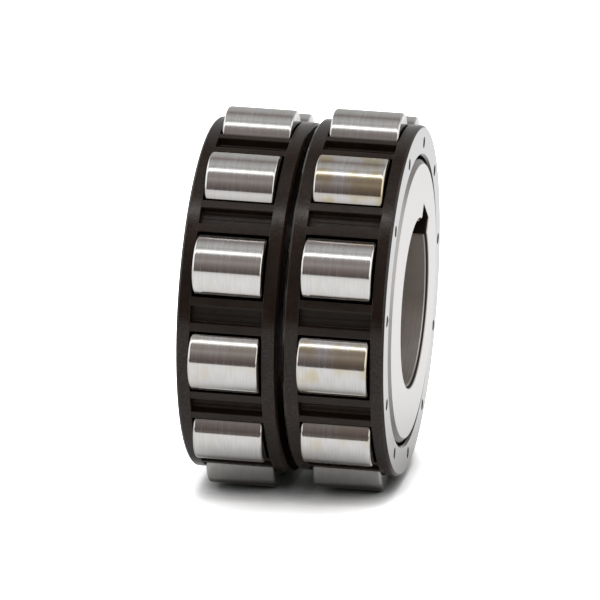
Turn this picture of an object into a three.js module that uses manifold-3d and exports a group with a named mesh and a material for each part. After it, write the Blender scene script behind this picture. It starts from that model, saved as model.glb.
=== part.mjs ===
// Double-row eccentric cylindrical roller bearing, without an outer ring.
//
// Frame: millimetres. The bore axis runs along X, the origin is the centre of
// the bore at mid width, and +Z is up when the bearing stands on two
// neighbouring rollers of each row. The right row (x > 0) is offset towards -Y
// and up, and the left row (x < 0) the opposite way. The keyway lies square to
// that offset. Angles run from +Y towards +Z.
import * as THREE from "three";
import { mergeVertices } from "three/addons/utils/BufferGeometryUtils.js";
import Module from "manifold-3d";

const { degToRad } = THREE.MathUtils;

// ---------------------------------------------------------------- dimensions
// X0 is a feature's end nearest mid width, and X1 its end nearest the end face.
const HALF_WIDTH = 32.0 / 2; // mid width to the inner ring's end face
const ECCENTRICITY = 1.0; // offset of each row's axis from the bore axis
const KEY_ANGLE = degToRad(54.64);
const OFFSET_ANGLE = KEY_ANGLE + Math.PI / 2; // direction of the right row's offset

const ROLLERS = 11; // in each row
const ROLLER_R = 5.0;
const ROLLER_X0 = 3.05;
const ROLLER_X1 = 13.55;
const ROLLER_CHAMFER = 0.4;
const PITCH_R = 24.0; // roller centres, about the row's axis
const ROLLER_SEGMENTS = 24;

const RACE_GAP = 0.03; // roller to raceway
const RIB_GAP = 0.12; // roller end to rib
const RACE_R = PITCH_R - ROLLER_R - RACE_GAP;
const RACE_X0 = ROLLER_X0 - RIB_GAP; // centre rib's side face
const RACE_X1 = ROLLER_X1 + RIB_GAP; // outer rib's inner face
const RIB_R = 21.5; // outer ribs, concentric with their row
const RIB_CHAMFER = 0.7;
const MID_RIB_R = 20.4; // centre rib, concentric with the bore
const ROW_X0 = 0.5; // where a row's part of the ring starts, inside the centre rib
const RING_SEGMENTS = 66;

const BORE_R = 12.5;
const BORE_CHAMFER = 0.55;
const BORE_SEGMENTS = 56;
const KEY_WIDTH = 6.0;
const KEY_START = 6.0; // keyway cutter's inner face, from the bore axis
const KEY_FLOOR = 15.0; // keyway floor, from the bore axis
const KEY_FLARE = 0.3; // chamfer at the keyway's two mouths

const CAGE_R = 26.6;
const CAGE_BORE_R = 22.0;
const CAGE_X0 = 0.6;
const CAGE_X1 = 15.75;
const CAGE_CHAMFER = 0.35;
const CAGE_SEGMENTS = 66;
const POCKET_END_GAP = 0.15; // roller end to pocket
const POCKET_X0 = ROLLER_X0 - POCKET_END_GAP;
const POCKET_X1 = ROLLER_X1 + POCKET_END_GAP;
const POCKET_R = 5.26;
const POCKET_SEGMENTS = 24;
const CHANNEL_WIDTH = 2.6; // groove along the back of each crossbar
const CHANNEL_FLOOR = 25.1; // from the row's axis
const MARK_R = 0.9; // round recess in the end face at each crossbar
const MARK_DEPTH = 0.25;
const MARK_SEGMENTS = 10;

const OVERCUT = 1.0; // how far cutters run past an end face
const CHANNEL_OVERCUT = 1.5; // how far the channel cutter runs past the cage's rim

// ------------------------------------------------------------------ placing
// Point [y, z] at a radius and an angle.
function polar(radius, angle) {
  return [radius * Math.cos(angle), radius * Math.sin(angle)];
}

const RIGHT_CENTRE = polar(ECCENTRICITY, OFFSET_ANGLE);
const LEFT_CENTRE = RIGHT_CENTRE.map((offset) => -offset);

// Angle of roller k about its row's axis. The bearing stands on the first
// roller and the last one, which are level. The first is on the -Y side, and
// the numbers go up that side.
function rollerAngle(k) {
  return -Math.PI / 2 - ((k + 0.5) * 2 * Math.PI) / ROLLERS;
}

// ------------------------------------------------------------------- solids
const wasm = await Module();
wasm.setup();

// Makes a manifold of a closed geometry, which it strips of all but positions.
function solid(geometry) {
  geometry.deleteAttribute("normal");
  geometry.deleteAttribute("uv");
  const merged = mergeVertices(geometry, 1e-5);
  return new wasm.Manifold(
    new wasm.Mesh({
      numProp: 3,
      vertProperties: new Float32Array(merged.attributes.position.array),
      triVerts: new Uint32Array(merged.index.array),
    })
  );
}

function geometryOf(manifold) {
  const mesh = manifold.getMesh();
  const geometry = new THREE.BufferGeometry();
  const positions = new Float32Array(mesh.vertProperties);
  geometry.setAttribute("position", new THREE.BufferAttribute(positions, 3));
  geometry.setIndex(new THREE.BufferAttribute(new Uint32Array(mesh.triVerts), 1));
  geometry.computeVertexNormals();
  return geometry;
}

// A solid of revolution about the X axis through [y, z] = centre. The profile
// lists [x, radius] from the lower x end to the higher one, and is closed on
// the axis when it starts and ends at radius 0, or on itself otherwise.
function turned(profile, segments, centre = [0, 0], phase = 0) {
  const points = profile.map(([x, radius]) => new THREE.Vector2(radius, x));
  const geometry = new THREE.LatheGeometry(points, segments);
  // The lathe turns about +Y. This sends +Y to +X.
  geometry.rotateZ(-Math.PI / 2);
  geometry.rotateX(phase);
  geometry.translate(0, ...centre);
  return solid(geometry);
}

// A plain cylinder along X.
function disc(x0, x1, radius, segments, centre, phase) {
  const profile = [
    [x0, 0],
    [x0, radius],
    [x1, radius],
    [x1, 0],
  ];
  return turned(profile, segments, centre, phase);
}

// The same shape on the other side of x = 0, with its faces still outward.
function mirroredInX(geometry) {
  const mirrored = geometry.clone();
  mirrored.scale(-1, 1, 1);
  const index = mirrored.index.array;
  for (let i = 0; i < index.length; i += 3) {
    [index[i], index[i + 1]] = [index[i + 1], index[i]];
  }
  mirrored.computeVertexNormals();
  return mirrored;
}

// --------------------------------------------------------------- inner ring
function boreCutter() {
  const mouth = HALF_WIDTH + OVERCUT;
  const mouthR = BORE_R + BORE_CHAMFER + OVERCUT;
  const straight = HALF_WIDTH - BORE_CHAMFER;
  return turned(
    [
      [-mouth, 0],
      [-mouth, mouthR],
      [-straight, BORE_R],
      [straight, BORE_R],
      [mouth, mouthR],
      [mouth, 0],
    ],
    BORE_SEGMENTS
  );
}

// A slot from inside the bore out to the keyway floor, opening a little wider
// at the two end faces.
function keywayCutter() {
  const side = KEY_WIDTH / 2;
  const straight = HALF_WIDTH - KEY_FLARE;
  const mouth = HALF_WIDTH + OVERCUT;
  const mouthSide = side + KEY_FLARE + OVERCUT;
  const outline = [
    [-mouth, -mouthSide],
    [-straight, -side],
    [straight, -side],
    [mouth, -mouthSide],
    [mouth, mouthSide],
    [straight, side],
    [-straight, side],
    [-mouth, mouthSide],
  ];
  const slot = new THREE.Shape(outline.map(([x, y]) => new THREE.Vector2(x, y)));
  slot.closePath();
  const geometry = new THREE.ExtrudeGeometry(slot, {
    depth: KEY_FLOOR - KEY_START,
    bevelEnabled: false,
  });
  geometry.translate(0, 0, KEY_START);
  // The slot is drawn with its depth along +Z, which is 90 degrees from +Y.
  geometry.rotateX(KEY_ANGLE - Math.PI / 2);
  return solid(geometry);
}

function innerRing() {
  // Raceway and outer rib of the right row.
  const rowProfile = [
    [ROW_X0, 0],
    [ROW_X0, RACE_R],
    [RACE_X1, RACE_R],
    [RACE_X1, RIB_R],
    [HALF_WIDTH - RIB_CHAMFER, RIB_R],
    [HALF_WIDTH, RIB_R - RIB_CHAMFER],
    [HALF_WIDTH, 0],
  ];
  const phase = Math.PI / RING_SEGMENTS;
  const rowPart = (centre) => turned(rowProfile, RING_SEGMENTS, centre, phase);
  const left = solid(mirroredInX(geometryOf(rowPart(LEFT_CENTRE))));
  const centreRib = disc(-RACE_X0, RACE_X0, MID_RIB_R, RING_SEGMENTS, [0, 0], phase);

  const ring = rowPart(RIGHT_CENTRE)
    .add(left)
    .add(centreRib)
    .subtract(boreCutter())
    .subtract(keywayCutter());
  return geometryOf(ring);
}

// --------------------------------------------------------------------- cage
function channelCutter(angle) {
  const depth = CAGE_R + CHANNEL_OVERCUT - CHANNEL_FLOOR;
  const channel = new THREE.BoxGeometry(POCKET_X1 - POCKET_X0, depth, CHANNEL_WIDTH);
  channel.translate((POCKET_X0 + POCKET_X1) / 2, CHANNEL_FLOOR + depth / 2, 0);
  channel.rotateX(angle);
  return solid(channel);
}

// The right-hand cage, about its own axis.
function rightCage() {
  let cage = turned(
    [
      [CAGE_X0, CAGE_BORE_R],
      [CAGE_X0, CAGE_R - CAGE_CHAMFER],
      [CAGE_X0 + CAGE_CHAMFER, CAGE_R],
      [CAGE_X1 - CAGE_CHAMFER, CAGE_R],
      [CAGE_X1, CAGE_R - CAGE_CHAMFER],
      [CAGE_X1, CAGE_BORE_R],
      [CAGE_X0, CAGE_BORE_R],
    ],
    CAGE_SEGMENTS
  );
  const cutDisc = (x0, x1, radius, segments, angle) => {
    const cutter = disc(x0, x1, radius, segments, polar(PITCH_R, angle), angle);
    cage = cage.subtract(cutter);
  };
  for (let k = 0; k < ROLLERS; k++) {
    const pocketAngle = rollerAngle(k);
    const barAngle = pocketAngle + Math.PI / ROLLERS;
    cutDisc(POCKET_X0, POCKET_X1, POCKET_R, POCKET_SEGMENTS, pocketAngle);
    cage = cage.subtract(channelCutter(barAngle));
    cutDisc(CAGE_X1 - MARK_DEPTH, CAGE_X1 + OVERCUT, MARK_R, MARK_SEGMENTS, barAngle);
  }
  return geometryOf(cage);
}

// ------------------------------------------------------------------- roller
// One right-hand roller about its own axis. A corner of the polygon points
// straight down, so that the lowest rollers meet the ground.
function rightRoller() {
  const roller = turned(
    [
      [ROLLER_X0, 0],
      [ROLLER_X0, ROLLER_R - ROLLER_CHAMFER],
      [ROLLER_X0 + ROLLER_CHAMFER, ROLLER_R],
      [ROLLER_X1 - ROLLER_CHAMFER, ROLLER_R],
      [ROLLER_X1, ROLLER_R - ROLLER_CHAMFER],
      [ROLLER_X1, 0],
    ],
    ROLLER_SEGMENTS
  );
  return geometryOf(roller);
}

// ---------------------------------------------------------------- materials
function ringSteel() {
  return new THREE.MeshStandardMaterial({ color: 0xd6d2cf, roughness: 0.32, metalness: 1.0 });
}

function rollerSteel() {
  return new THREE.MeshStandardMaterial({ color: 0xcfcac5, roughness: 0.2, metalness: 1.0 });
}

function cagePolymer() {
  return new THREE.MeshStandardMaterial({ color: 0x2a2522, roughness: 0.5, metalness: 0.0 });
}

// ----------------------------------------------------------------- assembly
function place(name, geometry, material, parent) {
  const mesh = new THREE.Mesh(geometry, material);
  mesh.name = name;
  parent.add(mesh);
  return mesh;
}

// One row: a cage and its rollers, about the row's axis.
function placeRow(side, centre, cage, roller, parent) {
  const row = new THREE.Group();
  row.position.set(0, ...centre);
  parent.add(row);
  place(`${side}_cage`, cage, cagePolymer(), row);
  for (let k = 0; k < ROLLERS; k++) {
    const number = String(k + 1).padStart(2, "0");
    const mesh = place(`${side}_roller_${number}`, roller.clone(), rollerSteel(), row);
    mesh.position.set(0, ...polar(PITCH_R, rollerAngle(k)));
  }
}

const bearing = new THREE.Group();
bearing.name = "eccentric_roller_bearing";
place("eccentric_inner_ring", innerRing(), ringSteel(), bearing);

const cage = rightCage();
const roller = rightRoller();
const leftRoller = roller.clone().translate(-(ROLLER_X0 + ROLLER_X1), 0, 0);
placeRow("right", RIGHT_CENTRE, cage, roller, bearing);
placeRow("left", LEFT_CENTRE, mirroredInX(cage), leftRoller, bearing);

export default bearing;
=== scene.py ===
"""Looks of a double-row eccentric cylindrical roller bearing, built round its CAD frame.

The bearing's axis lies along X. The right row is on the +X side, the left row on the -X
side, each about its own eccentric axis parallel to X. The camera looks along +Y, and the
lowest rollers stand on the floor.
"""

import math
from functools import reduce

import bpy
import bmesh
import numpy as np
from mathutils import Matrix, Vector


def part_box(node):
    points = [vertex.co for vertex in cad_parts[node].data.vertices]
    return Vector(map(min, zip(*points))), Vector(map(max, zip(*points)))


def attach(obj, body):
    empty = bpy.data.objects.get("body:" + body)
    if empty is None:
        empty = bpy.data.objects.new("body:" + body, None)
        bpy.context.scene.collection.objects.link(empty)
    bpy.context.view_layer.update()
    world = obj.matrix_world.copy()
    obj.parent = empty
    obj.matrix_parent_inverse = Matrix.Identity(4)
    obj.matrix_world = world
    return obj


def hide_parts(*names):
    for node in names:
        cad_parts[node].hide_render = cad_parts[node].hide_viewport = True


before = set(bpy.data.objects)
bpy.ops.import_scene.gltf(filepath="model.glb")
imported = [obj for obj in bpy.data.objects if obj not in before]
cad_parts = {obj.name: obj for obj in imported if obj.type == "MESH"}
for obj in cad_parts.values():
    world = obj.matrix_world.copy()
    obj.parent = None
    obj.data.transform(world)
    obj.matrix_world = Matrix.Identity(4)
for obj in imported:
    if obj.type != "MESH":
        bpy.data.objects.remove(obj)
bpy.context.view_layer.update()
scene = bpy.context.scene
MM = 0.001

# ------------------------------------------------------------------ dimensions
# Lengths are in millimetres and angles in radians. An X is a distance from the middle
# plane, the same for both rows. Places in Y and Z come from the frame.
ROLLERS = 11  # in each row
HALF_PITCH = math.pi / ROLLERS
PITCH_R = 24.0  # circle of the roller centres
ROLLER_R = 5.0
ROLLER_HALF = 5.25  # half its length
ROLLER_RELIEF, ROLLER_RELIEF_LENGTH = 0.012, 1.3  # slight taper at each end

# inner ring
HALF_WIDTH = 16.0
RACE_R = 18.97
RACE_X0, RACE_X1 = 2.93, 13.67
RIB_R, RIB_CHAMFER = 21.5, 0.7
MID_RIB_R = 20.4
BORE_R, BORE_CHAMFER = 12.5, 0.55
KEY_HALF, KEY_FLOOR, KEY_FLARE = 3.0, 15.0, 0.3
KEY_ANGLE = math.radians(54.64)  # of the keyway's middle, from +Y towards +Z
KEY_FLOOR_STEPS, KEY_WALL_STEPS, BORE_STEPS = 12, 5, 192

# cages
CAGE_R, CAGE_BORE_R = 26.6, 22.0
CAGE_X0, CAGE_X1, CAGE_CHAMFER = 0.6, 15.75, 0.35
CAGE_LEAD = 0.3  # chamfer at the bore of the outer end
POCKET_X0, POCKET_X1, POCKET_R = 2.9, 13.7, 5.26
BAR_R = 26.47  # backs of the crossbars, just under the side rings
BAR_BORE_R = 22.03  # their fronts, just clear of the side rings' bore
BAR_ROOT = 0.3  # how far a crossbar runs into each side ring
BAR_EDGE = 0.16  # rounding at the pocket's edges, along the back and front
BAR_EDGE_TURN = 0.034  # the same rounding, as an angle round the pocket
CHANNEL_HALF, CHANNEL_FLOOR = 1.3, 25.1  # groove along the back of each crossbar
CHANNEL_FILLET = 0.34
LIP_DOWN, LIP_OUT = 0.13, 0.15  # rounding at the channel's edge
JOINT_DEPTH = 0.07  # fine line along the middle of the channel floor
MARK_R, MARK_DEPTH = 0.85, 0.12  # round dimples in the outer end face

RING_SEGMENTS, MARK_SEGMENTS, ROLLER_SEGMENTS = 264, 32, 120

# oil on the rollers that carry more than the rest, by side and index
OIL = {("right", 4): 0.9, ("right", 2): 0.7, ("right", 1): 0.4, ("left", 2): 0.3}
OIL_ELSEWHERE = 0.12


def box_centre(node):
    low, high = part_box(node)
    return np.array((low + high) / 2) / MM


def roller_names(side):
    return [f"{side}_roller_{k + 1:02d}" for k in range(ROLLERS)]


# (y, z) of each row's axis: the middle of its rollers
ROW = {
    side: np.mean([box_centre(name) for name in roller_names(side)], axis=0)[1:]
    for side in ("left", "right")
}


def bar_angle(k):
    """Angle of a crossbar, half a pitch from roller k."""
    roller = -math.pi / 2 - (k + 0.5) * 2 * math.pi / ROLLERS
    return roller + HALF_PITCH


# ------------------------------------------------------------------ mesh tools
def polar(radius, angle, centre=(0.0, 0.0)):
    """(y, z) at an angle from +Y towards +Z."""
    return centre[0] + radius * math.cos(angle), centre[1] + radius * math.sin(angle)


def rounded(points, steps=4):
    """A profile with its corners rounded. Points are (x, radius, fillet of the corner)."""
    out = []
    for i, (x, radius, fillet) in enumerate(points):
        if fillet <= 0:
            out.append((x, radius))
            continue
        corner = np.array((x, radius), float)
        back = np.array(points[i - 1][:2], float) - corner
        ahead = np.array(points[(i + 1) % len(points)][:2], float) - corner
        back_length, ahead_length = np.linalg.norm(back), np.linalg.norm(ahead)
        back, ahead = back / back_length, ahead / ahead_length
        half = math.acos(float(back @ ahead)) / 2
        # the fillet takes less than half of either side
        reach = min(fillet / math.tan(half), back_length * 0.49, ahead_length * 0.49)
        fillet = reach * math.tan(half)
        middle = (back + ahead) / np.linalg.norm(back + ahead)
        centre = corner + middle * (fillet / math.sin(half))
        start, end = corner + back * reach - centre, corner + ahead * reach - centre
        turn = math.acos(float(start @ end) / (fillet * fillet))
        for k in range(steps + 1):
            w = k / steps
            spoke = math.sin((1 - w) * turn) * start + math.sin(w * turn) * end
            out.append(tuple(centre + spoke / math.sin(turn)))
    return out


def curve(start, corner, end, steps):
    """Points of a small rounded corner, from start to end."""
    start, corner, end = (np.array(p, float) for p in (start, corner, end))
    out = []
    for k in range(steps + 1):
        w = k / steps
        out.append(tuple(start * (1 - w) ** 2 + corner * 2 * w * (1 - w) + end * w * w))
    return out


def turned(profile, segments, centre=(0.0, 0.0), closed=False):
    """Vertices and faces of a solid of revolution about X, from (x, radius) points."""
    verts, rows, faces = [], [], []
    for x, radius in profile:
        if radius < 1e-9:
            rows.append([len(verts)])
            verts.append((x, *centre))
            continue
        rows.append(list(range(len(verts), len(verts) + segments)))
        for i in range(segments):
            verts.append((x, *polar(radius, 2 * math.pi * i / segments, centre)))
    pairs = list(zip(rows, rows[1:])) + ([(rows[-1], rows[0])] if closed else [])
    for row, after in pairs:
        for i in range(segments):
            j = (i + 1) % segments
            if len(row) == 1:
                faces.append((row[0], after[j], after[i]))
            elif len(after) == 1:
                faces.append((row[i], row[j], after[0]))
            else:
                faces.append((row[i], row[j], after[j], after[i]))
    return verts, faces


def joined(parts):
    verts, faces = [], []
    for part_verts, part_faces in parts:
        start = len(verts)
        verts += part_verts
        faces += [tuple(i + start for i in face) for face in part_faces]
    return verts, faces


def to_object(name, verts, faces):
    """A mesh object from millimetre vertices, its normals outward."""
    mesh = bpy.data.meshes.new(name)
    mesh.from_pydata([tuple(np.array(v) * MM) for v in verts], [], faces)
    bm = bmesh.new()
    bm.from_mesh(mesh)
    bmesh.ops.recalc_face_normals(bm, faces=bm.faces)
    bm.to_mesh(mesh)
    bm.free()
    return link(bpy.data.objects.new(name, mesh))


def link(obj):
    scene.collection.objects.link(obj)
    return obj


def combine(obj, other, operation):
    """Joins obj with, or cuts it by, other, which is used up."""
    mod = obj.modifiers.new("combine", "BOOLEAN")
    mod.operation = operation
    mod.solver = "MANIFOLD"
    mod.object = other
    bpy.context.view_layer.update()
    graph = bpy.context.evaluated_depsgraph_get()
    mesh = bpy.data.meshes.new_from_object(obj.evaluated_get(graph))
    obj.modifiers.clear()
    old, obj.data = obj.data, mesh
    mesh.name = obj.name
    bpy.data.meshes.remove(old)
    used = other.data
    bpy.data.objects.remove(other)
    bpy.data.meshes.remove(used)


def finish_surface(obj, sharp_angle):
    """Smooth shading that keeps flats flat and real corners sharp (angle in degrees)."""
    for p in obj.data.polygons:  # faces square to the axis are truly flat
        p.use_smooth = abs(p.normal.x) < 0.99995
    obj.data.set_sharp_from_angle(angle=math.radians(sharp_angle))
    mod = obj.modifiers.new("normals", "WEIGHTED_NORMAL")
    mod.keep_sharp = True
    mod.weight = 60
    return obj


# ------------------------------------------------------------------ inner ring
def bore_outline(x):
    """Bore and keyway at x, as (radius, angle from the keyway), in order of angle."""
    radius = BORE_R + max(0.0, abs(x) - (HALF_WIDTH - BORE_CHAMFER))
    half = KEY_HALF + max(0.0, abs(x) - (HALF_WIDTH - KEY_FLARE))
    mouth = math.asin(half / radius)
    low = math.sqrt(radius * radius - half * half)
    out = []
    for k in range(KEY_FLOOR_STEPS + 1):  # floor, from corner to corner
        across = -half + 2 * half * k / KEY_FLOOR_STEPS
        out.append((math.hypot(KEY_FLOOR, across), math.atan2(across, KEY_FLOOR)))
    for k in range(1, KEY_WALL_STEPS + 1):  # one side wall, down to the bore
        height = KEY_FLOOR + (low - KEY_FLOOR) * k / KEY_WALL_STEPS
        out.append((math.hypot(height, half), math.atan2(half, height)))
    arc = 2 * math.pi - 2 * mouth
    for k in range(1, BORE_STEPS):
        out.append((radius, mouth + arc * k / BORE_STEPS))
    for k in range(KEY_WALL_STEPS):  # the other side wall
        height = low + (KEY_FLOOR - low) * k / KEY_WALL_STEPS
        out.append((math.hypot(height, half), 2 * math.pi - math.atan2(half, height)))
    return out


def bore_row(x):
    return [(x, *polar(radius, a + KEY_ANGLE)) for radius, a in bore_outline(x)]


def outer_rows(sign, centre):
    """Outer rows of one half, from the middle of the centre rib to the end face."""
    # x, radius, fillet: the centre rib, about the bore's axis
    rib = rounded(
        [(0.0, MID_RIB_R, 0), (RACE_X0, MID_RIB_R, 0.25), (RACE_X0, 20.14, 0)]
    )
    # x, radius, fillet: the raceway and end rib, about the row's axis
    race = rounded(
        [
            (RACE_X0, 19.1, 0),
            (RACE_X0, RACE_R, 0.12),
            (RACE_X1, RACE_R, 0.12),
            (RACE_X1, RIB_R, 0.18),
            (HALF_WIDTH - RIB_CHAMFER, RIB_R, 0.25),
            (HALF_WIDTH, RIB_R - RIB_CHAMFER, 0.22),
            (HALF_WIDTH, RIB_R - RIB_CHAMFER - 1.2, 0),
        ]
    )
    angles = [a + KEY_ANGLE for _, a in bore_outline(0.0)]
    # angles of the bore outline about the row's axis keep folds out of the end face
    turns = [
        math.atan2(z - centre[1], y - centre[0]) for _, y, z in bore_row(sign * HALF_WIDTH)
    ]
    rows = [[(sign * x, *polar(radius, a)) for a in angles] for x, radius in rib]
    rows += [[(sign * x, *polar(radius, a, centre)) for a in turns] for x, radius in race]
    return rows


def build_ring():
    """One skin round the section: out along the right half, in through the bore, back."""
    stations = [HALF_WIDTH - 0.06 * k / 4 for k in range(5)]  # close rows at the end
    stations += [HALF_WIDTH - KEY_FLARE, HALF_WIDTH - BORE_CHAMFER, HALF_WIDTH - 0.8]
    stations += [10.0, 5.0, 0.0]
    rows = outer_rows(1, ROW["right"])
    rows += [bore_row(x) for x in stations]
    rows += [bore_row(-x) for x in reversed(stations[:-1])]
    rows += reversed(outer_rows(-1, ROW["left"])[1:])

    count = len(rows[0])
    faces = []
    for k in range(len(rows)):
        row, after = k * count, (k + 1) % len(rows) * count
        for i in range(count):
            j = (i + 1) % count
            faces.append((row + i, row + j, after + j, after + i))
    verts = [p for row in rows for p in row]
    return finish_surface(to_object("inner_ring_steel", verts, faces), 24.0)


# ----------------------------------------------------------------------- cages
def bar_outline():
    """Half of a crossbar's section as (radial, tangential), from its back to its front."""
    pocket_u, pocket_t = PITCH_R * math.cos(HALF_PITCH), PITCH_R * math.sin(HALF_PITCH)

    def pocket(turn):
        return pocket_u + POCKET_R * math.sin(turn), pocket_t - POCKET_R * math.cos(turn)

    def pocket_turn(radius):
        """Where the pocket wall crosses a radius of the cage, by bisection."""
        low, high = -1.2, 1.2
        for _ in range(60):
            middle = (low + high) / 2
            if math.hypot(*pocket(middle)) < radius:
                low = middle
            else:
                high = middle
        return low

    def arc(radius, across):
        return math.sqrt(radius * radius - across * across), across

    floor, side = CHANNEL_FLOOR, CHANNEL_HALF
    # joint line and channel floor
    out = [(floor - JOINT_DEPTH, 0.0), (floor - JOINT_DEPTH, 0.05)]
    out += [(floor, 0.10), (floor, 0.45)]
    # channel wall
    out += curve(
        (floor, side - CHANNEL_FILLET), (floor, side), (floor + CHANNEL_FILLET, side), 5
    )
    lip, shoulder = arc(BAR_R, side), side + LIP_OUT
    out += curve((lip[0] - LIP_DOWN, side), lip, arc(BAR_R, shoulder), 4)
    # back
    turn_out, turn_in = pocket_turn(BAR_R), pocket_turn(BAR_BORE_R)
    corner = pocket(turn_out)
    back_end = corner[1] - BAR_EDGE
    out += [arc(BAR_R, shoulder + (back_end - shoulder) * k / 5) for k in range(1, 5)]
    # pocket wall, with its rounded edges
    start, end = turn_out - BAR_EDGE_TURN, turn_in + BAR_EDGE_TURN
    out += curve(arc(BAR_R, back_end), corner, pocket(start), 4)
    out += [pocket(start + (end - start) * k / 14) for k in range(1, 14)]
    front = pocket(turn_in)
    front_end = front[1] - BAR_EDGE
    out += curve(pocket(end), front, arc(BAR_BORE_R, front_end), 3)
    # front
    out += [arc(BAR_BORE_R, front_end * (1 - k / 4)) for k in range(1, 4)]
    out.append((BAR_BORE_R, 0.0))
    return out


def side_rings():
    # x, radius, fillet
    inner = [
        (CAGE_X0, CAGE_BORE_R, 0.2),
        (CAGE_X0, CAGE_R - CAGE_CHAMFER, 0.15),
        (CAGE_X0 + CAGE_CHAMFER, CAGE_R, 0.2),
        (POCKET_X0, CAGE_R, 0.14),
        (POCKET_X0, CAGE_BORE_R, 0.2),
    ]
    outer = [
        (POCKET_X1, CAGE_BORE_R, 0.2),
        (POCKET_X1, CAGE_R, 0.14),
        (CAGE_X1 - CAGE_CHAMFER, CAGE_R, 0.2),
        (CAGE_X1, CAGE_R - CAGE_CHAMFER, 0.12),
        (CAGE_X1, CAGE_BORE_R + CAGE_LEAD, 0.08),
        (CAGE_X1 - CAGE_LEAD, CAGE_BORE_R, 0.08),
    ]
    return joined([turned(rounded(p), RING_SEGMENTS, closed=True) for p in (inner, outer)])


def crossbars():
    half = bar_outline()
    section = half + [(u, -t) for u, t in reversed(half[1:-1])]
    count = len(section)
    faces = [(i, (i + 1) % count, count + (i + 1) % count, count + i) for i in range(count)]
    faces += [tuple(range(count)), tuple(reversed(range(count, 2 * count)))]
    bars = []
    for k in range(ROLLERS):
        cos, sin = math.cos(bar_angle(k)), math.sin(bar_angle(k))
        verts = [
            (x, u * cos - t * sin, u * sin + t * cos)
            for x in (POCKET_X0 - BAR_ROOT, POCKET_X1 + BAR_ROOT)
            for u, t in section
        ]
        bars.append((verts, faces))
    return joined(bars)


def mark_cutters():
    # x, radius
    profile = [
        (CAGE_X1 - MARK_DEPTH, 0.0),
        (CAGE_X1 - MARK_DEPTH, MARK_R - 0.12),
        (CAGE_X1 - MARK_DEPTH + 0.04, MARK_R - 0.04),
        (CAGE_X1 - 0.04, MARK_R - 0.01),
        (CAGE_X1 + 0.03, MARK_R + 0.07),
        (CAGE_X1 + 0.4, MARK_R + 0.07),
        (CAGE_X1 + 0.4, 0.0),
    ]
    centres = [polar(PITCH_R, bar_angle(k)) for k in range(ROLLERS)]
    return joined([turned(profile, MARK_SEGMENTS, centre) for centre in centres])


def build_cage(side):
    cage = to_object(side + "_cage_moulding", *side_rings())
    combine(cage, to_object("bars", *crossbars()), "UNION")
    combine(cage, to_object("dots", *mark_cutters()), "DIFFERENCE")

    # bring it to its row, the left one mirrored in x
    sign = 1.0 if side == "right" else -1.0
    bm = bmesh.new()
    bm.from_mesh(cage.data)
    for v in bm.verts:
        v.co.x *= sign
    bmesh.ops.remove_doubles(bm, verts=bm.verts, dist=1e-7)
    bmesh.ops.recalc_face_normals(bm, faces=bm.faces)
    bm.to_mesh(cage.data)
    bm.free()
    y, z = ROW[side]
    cage.location = (0.0, y * MM, z * MM)
    return finish_surface(cage, 26.0)


# --------------------------------------------------------------------- rollers
def build_roller(name):
    """A roller about its own centre: ground barrel, relieved ends, rounded corners."""
    barrel = ROLLER_HALF - ROLLER_RELIEF_LENGTH
    end_r = ROLLER_R - ROLLER_RELIEF
    # x, radius, fillet
    profile = [
        (-ROLLER_HALF, 0.0, 0),
        (-ROLLER_HALF, end_r, 0.42),
        (-barrel, ROLLER_R, 0.9),
        (barrel, ROLLER_R, 0.9),
        (ROLLER_HALF, end_r, 0.42),
        (ROLLER_HALF, 0.0, 0),
    ]
    roller = to_object(name + "_steel", *turned(rounded(profile, steps=8), ROLLER_SEGMENTS))
    roller.location = [c * MM for c in box_centre(name)]
    return finish_surface(roller, 40.0)


# ---------------------------------------------------------------- shader tools
DEGREES = 57.29578  # in a radian
MIDDLE = (0.3, 0.7)  # the range most noise values fall in
CENTRAL = (0.35, 0.65)  # a narrower one, for more contrast


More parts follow.
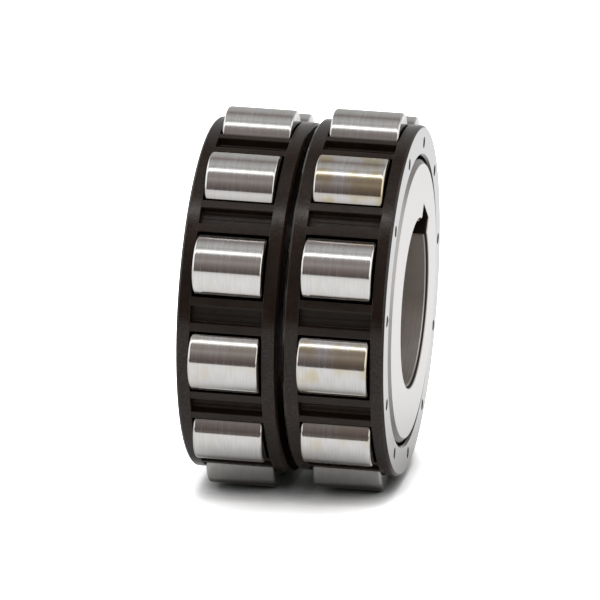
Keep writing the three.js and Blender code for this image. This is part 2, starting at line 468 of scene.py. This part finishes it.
class Net:
    """Short calls for building a node tree."""

    def __init__(self, owner):
        owner.use_nodes = True
        self.tree = owner.node_tree
        self.tree.nodes.clear()

    def add(self, kind, settings=None, **inputs):
        """A node. Inputs are keyed by name, or by place as i0, i1 and so on."""
        node = self.tree.nodes.new(kind)
        for key, value in (settings or {}).items():
            setattr(node, key, value)
        for key, value in inputs.items():
            by_place = key[0] == "i" and key[1:].isdigit()
            socket = node.inputs[int(key[1:]) if by_place else key]
            if isinstance(value, bpy.types.NodeSocket):
                self.tree.links.new(value, socket)
            elif socket.type == "RGBA":
                socket.default_value = (*value, 1.0)
            else:
                socket.default_value = value
        return node

    def out(self, kind, settings=None, **inputs):
        """The first output of a new node."""
        return self.add(kind, settings, **inputs).outputs[0]

    def math(self, operation, a, b=0.0):
        return self.out("ShaderNodeMath", {"operation": operation}, i0=a, i1=b, i2=0.0)

    def plus(self, *values):
        return reduce(lambda a, b: self.math("ADD", a, b), values)

    def times(self, *values):
        return reduce(lambda a, b: self.math("MULTIPLY", a, b), values)

    def absolute(self, value):
        return self.math("ABSOLUTE", value)

    def bearing(self, a, b):
        """The angle whose tangent is a over b, in degrees."""
        return self.times(self.math("ARCTAN2", a, b), DEGREES)

    def ramp(self, factor, stops):
        """Stops are (position, colour)."""
        node = self.add("ShaderNodeValToRGB", i0=factor)
        elements = node.color_ramp.elements
        elements.remove(elements[-1])
        for i, (position, colour) in enumerate(stops):
            element = elements[0] if i == 0 else elements.new(position)
            element.position = position
            element.color = (*colour, 1.0)
        return node.outputs[0]

    def between(self, value, span, to=(0.0, 1.0), smooth=False):
        """The value mapped from a span to another, and held at its ends."""
        kind = "SMOOTHSTEP" if smooth else "LINEAR"
        ends = {"From Min": span[0], "From Max": span[1], "To Min": to[0], "To Max": to[1]}
        settings = {"interpolation_type": kind, "clamp": True}
        return self.out("ShaderNodeMapRange", settings, Value=value, **ends)

    def noise(self, vector, scale, detail, rough):
        inputs = {"Scale": scale, "Detail": detail, "Roughness": rough}
        return self.out("ShaderNodeTexNoise", Vector=vector, **inputs)

    def place(self):
        return self.add("ShaderNodeTexCoord").outputs["Object"]

    def normal_x(self):
        geometry = self.add("ShaderNodeNewGeometry")
        return self.xyz(geometry.outputs["True Normal"])[0]

    def xyz(self, vector):
        return self.add("ShaderNodeSeparateXYZ", Vector=vector).outputs

    def pitched(self, vector):
        """x, y, z of a direction turned half a roller pitch, as the lighting is laid out."""
        turn = {"rotation_type": "X_AXIS"}
        return self.xyz(
            self.out("ShaderNodeVectorRotate", turn, Vector=vector, Angle=HALF_PITCH)
        )

    def openness(self, distance, power, samples=8):
        """Near 1 in the open and towards 0 in gaps narrower than distance (metres)."""
        node = self.add(
            "ShaderNodeAmbientOcclusion", {"samples": samples}, Distance=distance
        )
        return self.math("POWER", node.outputs["AO"], power)

    def stretch(self, vector, scale):
        return self.out("ShaderNodeVectorMath", {"operation": "MULTIPLY"}, i0=vector, i1=scale)

    def mix(self, factor, a, b):
        node = self.add("ShaderNodeMix", {"data_type": "RGBA"}, i0=factor, i6=a, i7=b)
        return node.outputs[2]

    def bump(self, strength, distance, height):
        inputs = {"Strength": strength, "Distance": distance, "Height": height}
        return self.out("ShaderNodeBump", **inputs)

    def principled(self, colour, metallic, rough, normal, **more):
        more |= {"Base Color": colour, "Metallic": metallic, "Roughness": rough}
        return self.out("ShaderNodeBsdfPrincipled", **more, Normal=normal)

    def blend(self, factor, a, b):
        return self.out("ShaderNodeMixShader", i0=factor, i1=a, i2=b)

    def finish(self, shader, kind="ShaderNodeOutputMaterial"):
        self.add(kind, Surface=shader)


# ------------------------------------------------------------------- materials
# Noise scales are per metre. Lengths inside the shaders are in metres.
def roller_steel():
    material = bpy.data.materials.new("roller_steel_ground")
    net = Net(material)
    place = net.place()
    # grinding lay: fine lines round the barrel, each fading in and out along its length
    coarse, fine = (5200.0, 240.0, 240.0), (16000.0, 500.0, 500.0)
    lay = net.noise(net.stretch(place, coarse), scale=1.0, detail=3.0, rough=0.6)
    fine_lay = net.noise(net.stretch(place, fine), scale=1.0, detail=1.0, rough=0.5)
    cloud = net.noise(place, scale=420.0, detail=3.0, rough=0.55)
    random = net.add("ShaderNodeObjectInfo").outputs["Random"]
    bright = net.plus(
        net.between(lay, MIDDLE, to=(-0.075, 0.075)),
        net.between(random, span=(0.0, 1.0), to=(-0.02, 0.02)),
        net.between(cloud, MIDDLE, to=(-0.03, 0.03)),
    )
    tone = net.plus(0.5, bright)
    colour = net.ramp(tone, [(0.40, (0.70, 0.685, 0.675)), (0.60, (0.86, 0.85, 0.84))])
    # patches of yellowish oil, as much as each roller carries
    named_oil = {"attribute_type": "OBJECT", "attribute_name": "oil"}
    oil = net.add("ShaderNodeAttribute", named_oil).outputs["Fac"]
    patches = net.noise(place, scale=230.0, detail=2.0, rough=0.5)
    oil_film_and_painted_shade = net.times(oil, net.between(patches, span=(0.40, 0.62), smooth=True))
    colour = net.mix(oil_film_and_painted_shade, colour, (0.66, 0.565, 0.37))
    # painted shade: the barrel's colour is darkened where it runs close to the cage
    in_open = net.openness(distance=0.0022, power=2.0)
    colour = net.mix(in_open, (0.10, 0.085, 0.075), colour)
    rough = net.plus(
        net.between(lay, span=(0.50, 0.78), to=(0.07, 0.22)),
        net.between(cloud, span=(0.35, 0.75), to=(0.0, 0.03)),
    )
    height = net.plus(net.times(lay, 0.7), net.times(fine_lay, 0.3))
    bump = net.bump(strength=0.10, distance=0.00003, height=height)
    net.finish(net.principled(colour, metallic=1.0, rough=rough, normal=bump))
    return material


def ring_steel():
    material = bpy.data.materials.new("ring_steel_ground")
    net = Net(material)
    place = net.place()
    x, y, z = net.xyz(place)
    radius = net.math("SQRT", net.plus(net.times(y, y), net.times(z, z)))
    # lay of turning: nearly constant round the axis, changing with x and radius
    along, outward, round_axis = 3800.0, 5200.0, 12.0
    lay_place = net.out(
        "ShaderNodeCombineXYZ",
        X=net.times(x, along),
        Y=net.times(radius, outward),
        Z=net.times(z, round_axis),
    )
    lay = net.noise(lay_place, scale=1.0, detail=3.0, rough=0.62)
    cloud = net.noise(place, scale=240.0, detail=4.0, rough=0.6)
    tone = net.plus(
        net.between(lay, MIDDLE, to=(0.47, 0.53)),
        net.between(cloud, MIDDLE, to=(-0.03, 0.03)),
    )
    colour = net.ramp(
        tone, [(0.35, (0.655, 0.635, 0.625)), (0.65, (0.735, 0.715, 0.705))]
    )
    # masks of the bore, the keyway and the sloping faces
    inside = net.times(
        net.between(radius, span=(0.01272, 0.01260)),
        net.between(net.absolute(x), span=(0.01552, 0.01545)),
    )
    keyway = net.times(
        net.between(radius, span=(0.01262, 0.01268)),
        net.between(radius, span=(0.0158, 0.0154)),
        net.between(net.absolute(x), span=(0.01592, 0.01585)),
    )
    tilt = net.absolute(net.normal_x())
    bevel = net.times(
        net.between(tilt, span=(0.30, 0.45)), net.between(tilt, span=(0.97, 0.88))
    )
    # painted shade: sloping faces are darkened; the bore is painted lighter towards the
    # bottom, and the keyway is painted nearly black
    colour = net.mix(bevel, colour, (0.40, 0.38, 0.365))
    # painted light: the bore is lighter towards the bottom
    below = net.between(z, span=(0.001, -0.010), smooth=True)
    bore = net.mix(below, (0.60, 0.55, 0.51), (0.82, 0.78, 0.75))
    bore = net.mix(net.between(lay, CENTRAL), bore, (0.60, 0.56, 0.53))
    colour = net.mix(inside, colour, bore)
    colour = net.mix(keyway, colour, (0.075, 0.062, 0.052))
    rough = net.plus(
        net.between(lay, span=(0.25, 0.75), to=(0.21, 0.25)),
        net.between(cloud, span=(0.35, 0.75), to=(0.0, 0.03)),
        net.times(keyway, 0.2),
        net.times(inside, 0.08),
        net.times(bevel, 0.10),
    )
    bump = net.bump(strength=0.025, distance=0.00002, height=lay)
    steel = net.principled(colour, metallic=1.0, rough=rough, normal=bump)
    # painted shade in the hollows: a near-black diffuse cover over the keyway and a thinner
    # one over the bore, painted lighter towards the bottom of the bore
    keyway_cover, bore_cover, most_cover = 0.74, 0.42, 0.80
    oil_film_and_painted_shade = net.plus(net.times(keyway, keyway_cover), net.times(inside, bore_cover))
    oil_film_and_painted_shade = net.math("MINIMUM", oil_film_and_painted_shade, most_cover)
    painted_hollow_shade = net.mix(below, (0.15, 0.125, 0.10), (0.46, 0.42, 0.40))
    painted_hollow_shade = net.mix(net.between(cloud, CENTRAL), painted_hollow_shade, (0.22, 0.195, 0.175))
    painted_hollow_shade = net.mix(keyway, painted_hollow_shade, (0.012, 0.009, 0.007))
    net.finish(net.blend(oil_film_and_painted_shade, steel, net.out("ShaderNodeBsdfDiffuse", Color=painted_hollow_shade)))
    return material


def cage_polymer():
    material = bpy.data.materials.new("cage_polymer_moulded")
    net = Net(material)
    place = net.place()
    grain = net.noise(place, scale=2600.0, detail=3.0, rough=0.6)
    mottle = net.noise(place, scale=900.0, detail=3.0, rough=0.6)
    cloud = net.noise(place, scale=160.0, detail=2.0, rough=0.5)
    streaked = net.stretch(place, (300.0, 2600.0, 2600.0))  # drawn out along X
    lines = net.noise(streaked, scale=1.0, detail=2.0, rough=0.5)
    # masks: outer end faces, other faces square to the axis, and the crossbars' span
    axial = net.between(net.absolute(net.normal_x()), span=(0.95, 0.99))
    outer = net.between(net.absolute(net.xyz(place)[0]), span=(0.0150, 0.0152))
    end = net.times(axial, outer)
    inner = net.math("SUBTRACT", axial, end)
    across = net.absolute(net.xyz(place)[0])
    bars = net.times(
        net.between(across, span=(0.0028, 0.0030)),
        net.between(across, span=(0.0138, 0.0136)),
    )
    tone = net.plus(
        net.between(cloud, CENTRAL, to=MIDDLE),
        net.between(mottle, MIDDLE, to=(-0.15, 0.15)),
    )
    colour = net.ramp(tone, [(0.2, (0.0090, 0.0049, 0.0029)), (0.8, (0.0170, 0.0094, 0.0055))])
    # the outer end faces are smoothest, and the side rings glossier than the crossbars
    rough = net.plus(
        net.between(mottle, MIDDLE, to=(0.24, 0.40)),
        net.between(grain, MIDDLE, to=(-0.03, 0.05)),
    )
    rough = net.times(
        rough,
        net.between(end, span=(0.0, 1.0), to=(1.0, 0.42)),
        net.between(bars, span=(0.0, 1.0), to=(0.56, 1.12)),
    )
    rough = net.plus(rough, net.times(inner, 0.3))
    # specks of stronger shine outside the crossbars
    specks = net.times(
        net.math("SUBTRACT", 1.0, bars),
        net.between(grain, span=(0.40, 0.66), smooth=True),
    )
    shine = net.times(
        net.between(inner, span=(0.0, 1.0), to=(0.42, 0.08)),
        net.between(specks, span=(0.0, 1.0), to=(0.85, 1.25)),
    )
    height = net.plus(
        net.times(mottle, 0.55), net.times(grain, 0.25), net.times(lines, 0.2)
    )
    strength = net.between(end, span=(0.0, 1.0), to=(0.35, 0.08))
    gloss = {
        "IOR": 1.48,
        "Specular IOR Level": shine,
        "Coat Weight": end,
        "Coat Roughness": 0.08,
        "Coat IOR": 1.75,
    }
    bump = net.bump(strength, distance=0.00008, height=height)
    net.finish(net.principled(colour, metallic=0.0, rough=rough, normal=bump, **gloss))
    return material


# -------------------------------------------------------------------- assembly
def dress(obj, material, body, node):
    obj.data.materials.clear()
    obj.data.materials.append(material)
    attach(obj, body)
    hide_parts(node)


def build_bearing():
    roller_look, ring_look, cage_look = roller_steel(), ring_steel(), cage_polymer()
    dress(build_ring(), ring_look, "inner_ring", "eccentric_inner_ring")
    for side in ("left", "right"):
        cage = build_cage(side)
        dress(cage, cage_look, side + "_cage_body", side + "_cage")
        for k, name in enumerate(roller_names(side)):
            roller = build_roller(name)
            roller["oil"] = OIL.get((side, k), OIL_ELSEWHERE)
            dress(roller, roller_look, name + "_body", name)


build_bearing()

# ----------------------------------------------------------------------- floor
# The left row hangs lower than the right one, so the sheet is tilted under the bearing
# to touch both, and levels out beside it.
LEFT_TOUCH_X, RIGHT_TOUCH_X = -3.45, 13.15
SINK = 0.02  # gap left under the rollers
TILT_HALF, LEVELLING = 20.0, 25.0  # half the tilted part, and how fast it levels out
FLOOR_HALF, FLOOR_FINE_HALF, FLOOR_STEP = 1600.0, 160, 5

lowest = {
    side: min(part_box(name)[0].z for name in roller_names(side)) / MM
    for side in ("left", "right")
}
slope = (lowest["right"] - lowest["left"]) / (RIGHT_TOUCH_X - LEFT_TOUCH_X)
level = lowest["left"] - slope * LEFT_TOUCH_X - SINK

ROLLER_REFLECTANCE = 0.78  # mean


def mirrored(display_grey):
    """What the rollers must reflect to show a display grey (0 to 255, and well above
    the straight foot of the sRGB curve)."""
    return ((display_grey / 255.0 + 0.055) / 1.055) ** 2.4 / ROLLER_REFLECTANCE


def floor_height(x):
    run = abs(x)
    if run > TILT_HALF:
        run = TILT_HALF + LEVELLING * math.tanh((run - TILT_HALF) / LEVELLING)
    return level + slope * math.copysign(run, x)


def reflected_paper(net, path):
    """The sheet's colour for reflections only, a painted reflection: pale near the bearing,
    dark beyond an edge, and darker where the bearing is near.
    """
    incoming = net.add("ShaderNodeNewGeometry").outputs["Incoming"]
    drop = net.xyz(incoming)[2]
    _, y, z = net.pitched(incoming)
    # angle of the arriving ray, 0 level towards -Y and -90 straight down
    angle = net.bearing(net.times(z, -1.0), y)
    wrap = net.times(net.math("GREATER_THAN", angle, 90.0), -360.0)
    angle = net.plus(angle, wrap)
    # the dark edge's angle in degrees rises with the height the ray comes from
    edge_per_metre, edge_at_floor = 359.0, -33.4
    edge_highest, edge_lowest = -13.0, -31.0
    height = net.times(path["Ray Length"], drop)
    edge = net.plus(net.times(height, edge_per_metre), edge_at_floor)
    edge = net.math("MAXIMUM", net.math("MINIMUM", edge, edge_highest), edge_lowest)
    beyond = net.between(net.math("SUBTRACT", angle, edge), span=(-1.2, 1.2), smooth=True)
    # position in the span of angles, brightness
    greys = [
        (0.00, 0.89), (0.20, 0.89), (0.24, 0.50), (0.30, 0.36), (0.35, 0.56),
        (0.41, 0.70), (0.48, 0.73), (0.70, 0.735), (1.00, 0.71),
    ]
    pale = net.ramp(
        net.between(angle, span=(-200.0, 0.0)), [(at, (grey,) * 3) for at, grey in greys]
    )
    dark = mirrored(80)
    seen = net.mix(beyond, pale, (dark * 1.12, dark * 0.96, dark * 0.91))
    # painted contact shadow in reflections: darker where the bearing is near
    return net.mix(net.openness(distance=0.006, power=1.0), (0.40, 0.385, 0.365), seen)


def studio_paper():
    material = bpy.data.materials.new("studio_paper")
    net = Net(material)
    path = net.add("ShaderNodeLightPath").outputs
    seen = reflected_paper(net, path)
    # exposed to white for the camera, with a painted contact shadow: the colour is darkened
    # where the bearing is near
    exposure = 2.65
    paper = net.times(net.openness(distance=0.006, power=1.1, samples=16), exposure)
    paper = net.out("ShaderNodeCombineColor", Red=paper, Green=paper, Blue=paper)
    plain = net.mix(path["Is Camera Ray"], (0.93, 0.93, 0.93), paper)
    matt = net.out(
        "ShaderNodeBsdfDiffuse", Color=net.mix(path["Is Glossy Ray"], plain, seen)
    )
    sheen = net.out("ShaderNodeBsdfGlossy", Color=(0.9, 0.9, 0.9), Roughness=0.22)
    sheen_share = 0.10  # none of it in reflections
    share = net.times(net.math("SUBTRACT", 1.0, path["Is Glossy Ray"]), sheen_share)
    net.finish(net.blend(share, matt, sheen))
    return material


def make_floor():
    fine = range(-FLOOR_FINE_HALF, FLOOR_FINE_HALF + 1, FLOOR_STEP)
    stations = [-FLOOR_HALF, *map(float, fine), FLOOR_HALF]
    verts = [
        (x * MM, y * MM, floor_height(x) * MM)
        for x in stations
        for y in (-FLOOR_HALF, FLOOR_HALF)
    ]
    faces = [(2 * i, 2 * i + 2, 2 * i + 3, 2 * i + 1) for i in range(len(stations) - 1)]
    mesh = bpy.data.meshes.new("studio_floor")
    mesh.from_pydata(verts, [], faces)
    for p in mesh.polygons:
        p.use_smooth = True
    floor = link(bpy.data.objects.new("studio_floor", mesh))
    mesh.materials.append(studio_paper())


make_floor()

# ------------------------------------------------------------- world and light
SKY_STRENGTH = 5.0  # of the mirrored sky, whose colours are held to 1
SIDE_BRIGHTNESS = 1.22  # of the mirrored sky towards -X and +X
SOFT_STRENGTH = 0.82  # what the white surroundings send to matt surfaces
BACKDROP_STRENGTH = 1.06  # white seen by the camera

# Bands of the mirrored sky: angle in degrees (0 level towards -Y, 90 overhead), and the
# display grey it gives on the rollers.
SKY_BANDS = [
    (-180, 250), (-95, 250), (-90, 84), (-12, 78), (5, 104), (13, 122), (19, 132),
    (28, 119), (39, 127), (43.5, 142), (45.5, 192), (47.5, 224), (50.5, 246), (53, 470),
    (55.5, 246), (58, 216), (60.5, 190), (63.5, 163), (66.5, 150), (70, 163), (75, 167),
    (85, 156), (95, 138), (100, 121), (104, 114), (109, 128), (116, 145), (124, 153),
    (150, 162), (160, 165), (180, 190),
]


def sky_colour(grey):
    """The dark surroundings are slightly warm, the lit ones neutral."""
    value = min(1.0, mirrored(grey) / SKY_STRENGTH)
    warmth = max(0.0, min(1.0, (150.0 - grey) / 50.0))
    return tuple(value * (1 + tint * warmth) for tint in (0.14, -0.05, -0.09))


def make_world():
    world = bpy.data.worlds.new("studio")
    scene.world = world
    net = Net(world)
    x, y, z = net.pitched(net.add("ShaderNodeTexCoord").outputs["Generated"])
    angle = net.bearing(z, net.times(y, -1.0))
    stops = [((band + 180) / 360, sky_colour(grey)) for band, grey in SKY_BANDS]
    strip = net.ramp(net.between(angle, span=(-180.0, 180.0)), stops)
    sides = net.between(net.absolute(x), span=(0.55, 0.80), smooth=True)
    mirrored_sky = net.mix(sides, strip, (SIDE_BRIGHTNESS / SKY_STRENGTH,) * 3)

    def background(colour, strength):
        return net.out("ShaderNodeBackground", Color=colour, Strength=strength)

    path = net.add("ShaderNodeLightPath").outputs
    white = (1.0, 1.0, 1.0)
    soft = background(white, SOFT_STRENGTH)
    glossy = background(mirrored_sky, SKY_STRENGTH)
    lit = net.blend(path["Is Glossy Ray"], soft, glossy)
    backdrop = background(white, BACKDROP_STRENGTH)
    both = net.blend(path["Is Camera Ray"], lit, backdrop)
    net.finish(both, "ShaderNodeOutputWorld")
    world.cycles.sampling_method = "NONE"


make_world()


def soft_light(name, place, size, power):
    """A rectangular light aimed at the origin, in metres and watts."""
    light = bpy.data.lights.new(name, "AREA")
    light.shape = "RECTANGLE"
    light.size, light.size_y = size
    light.energy = power
    obj = link(bpy.data.objects.new(name, light))
    obj.location = place
    obj.rotation_mode = "QUATERNION"
    obj.rotation_quaternion = (-Vector(place)).to_track_quat("-Z", "Y")
    obj.visible_glossy = False
    obj.visible_camera = False


soft_light("overhead_softbox", place=(0.03, -0.05, 0.70), size=(0.55, 0.40), power=2.1)

# ---------------------------------------------------------------------- camera
# The pose is given for a bearing with a roller straight down, in radians and mm. The
# bearing stands half a pitch on, so the pose is turned with it.
YAW, PITCH, ROLL = 0.1638969164713624, -0.0029196668189491433, 0.0736240705612026
CAMERA_PLACE = (168.87698, -1030.67312, -3.82237)


def make_camera():
    data = bpy.data.cameras.new("camera")
    data.sensor_width = 36.0
    data.lens = 413.571
    data.clip_start, data.clip_end = 0.05, 20.0
    camera = link(bpy.data.objects.new("camera", data))
    forward = Vector(
        (-math.sin(YAW) * math.cos(PITCH), math.cos(YAW) * math.cos(PITCH), -math.sin(PITCH))
    )
    level_right = Vector((math.cos(YAW), math.sin(YAW), 0.0))
    level_up = level_right.cross(forward)
    right = level_right * math.cos(ROLL) + level_up * math.sin(ROLL)
    up = -level_right * math.sin(ROLL) + level_up * math.cos(ROLL)
    pose = Matrix((right, up, -forward)).transposed().to_4x4()
    pose.translation = Vector(CAMERA_PLACE) * MM
    camera.matrix_world = Matrix.Rotation(-HALF_PITCH, 4, "X") @ pose
    scene.camera = camera


make_camera()

scene.view_settings.view_transform = "Standard"
scene.view_settings.look = "None"
scene.view_settings.exposure = 0.0
scene.view_settings.gamma = 1.0

bpy.context.view_layer.update()
